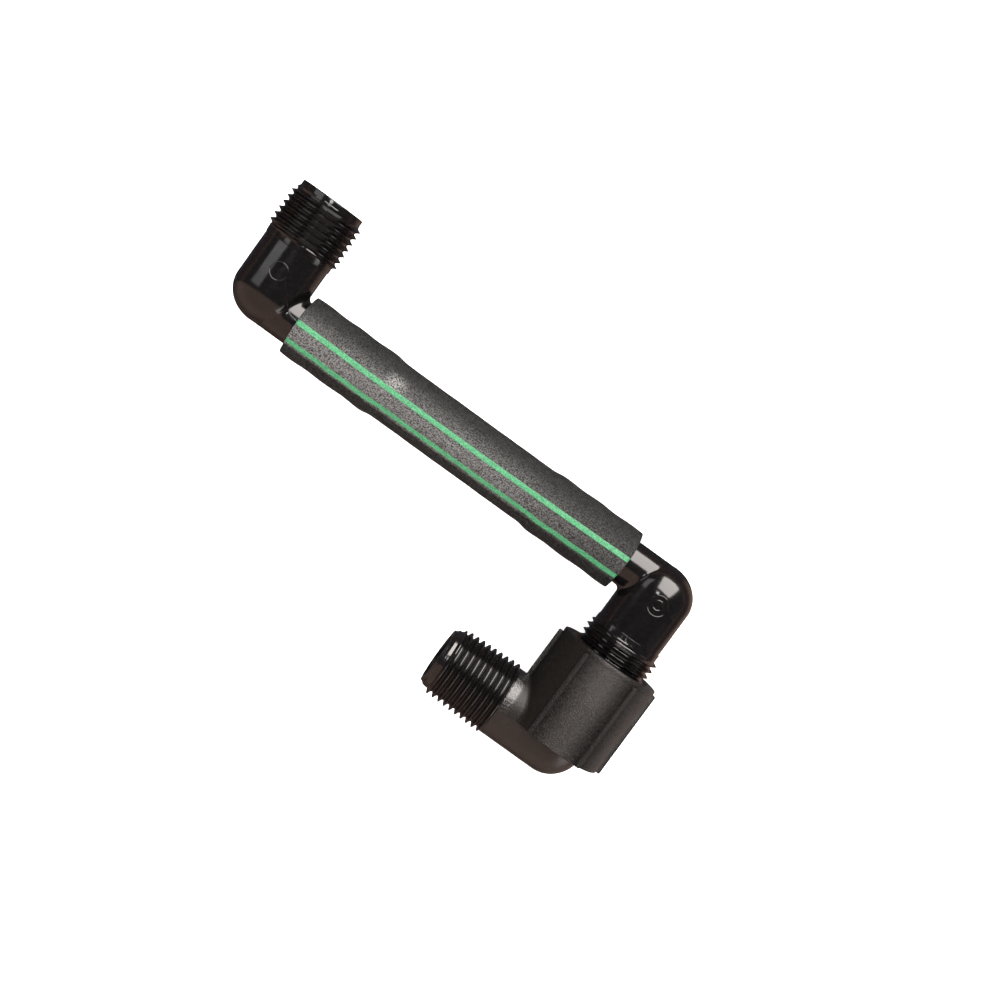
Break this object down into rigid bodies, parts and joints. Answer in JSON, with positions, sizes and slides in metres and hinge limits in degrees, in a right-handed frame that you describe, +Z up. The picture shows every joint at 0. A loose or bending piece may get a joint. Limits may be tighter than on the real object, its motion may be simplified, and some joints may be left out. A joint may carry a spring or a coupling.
{
  "type": "irrigation swing joint",
  "caption": "Flexible irrigation riser: a threaded street elbow, barbed insert elbows at both ends of a striped polyethylene pipe, and a male pipe-thread outlet.",
  "frame": {"origin": "middle of the underside of the bounding box, with the joint lying flat and all pipe axes in one plane 14.3 mm above the ground", "axes": "+X along the swing pipe towards the street elbow, +Y the way the outlet thread points, +Z up from the surface it lies on"},
  "size_m": [0.1528, 0.0892, 0.0286],
  "materials": {
    "satin_black": "satin moulded polyethylene with a fine pebbled grain on the socket",
    "gloss_black": "glossy moulded engineering plastic",
    "pipe_black": "matt extruded polyethylene, finely mottled",
    "stripe_green": "matt extruded polyethylene, finely mottled"
  },
  "bodies": {
    "street_elbow": {"street_elbow": "satin_black"},
    "lower_elbow": {"lower_elbow": "gloss_black"},
    "swing_pipe": {"swing_pipe": "pipe_black", "pipe_stripe_crown": "stripe_green", "pipe_stripe_side": "stripe_green"},
    "upper_elbow": {"upper_elbow": "gloss_black"}
  },
  "joints": [
    {"name": "threaded_swivel", "type": "hinge", "parent": "street_elbow", "child": "lower_elbow", "pos_m": [0.06094, -0.00884, 0.0143], "axis": [0, 1, 0], "range_deg": [-180, 180]},
    {"name": "lower_barb_swivel", "type": "hinge", "parent": "lower_elbow", "child": "swing_pipe", "pos_m": [0.04854, 0.01391, 0.0143], "axis": [1, 0, 0], "range_deg": [-180, 180]},
    {"name": "upper_barb_swivel", "type": "hinge", "parent": "swing_pipe", "child": "upper_elbow", "pos_m": [-0.05466, 0.01391, 0.0143], "axis": [1, 0, 0], "range_deg": [-180, 180]}
  ]
}
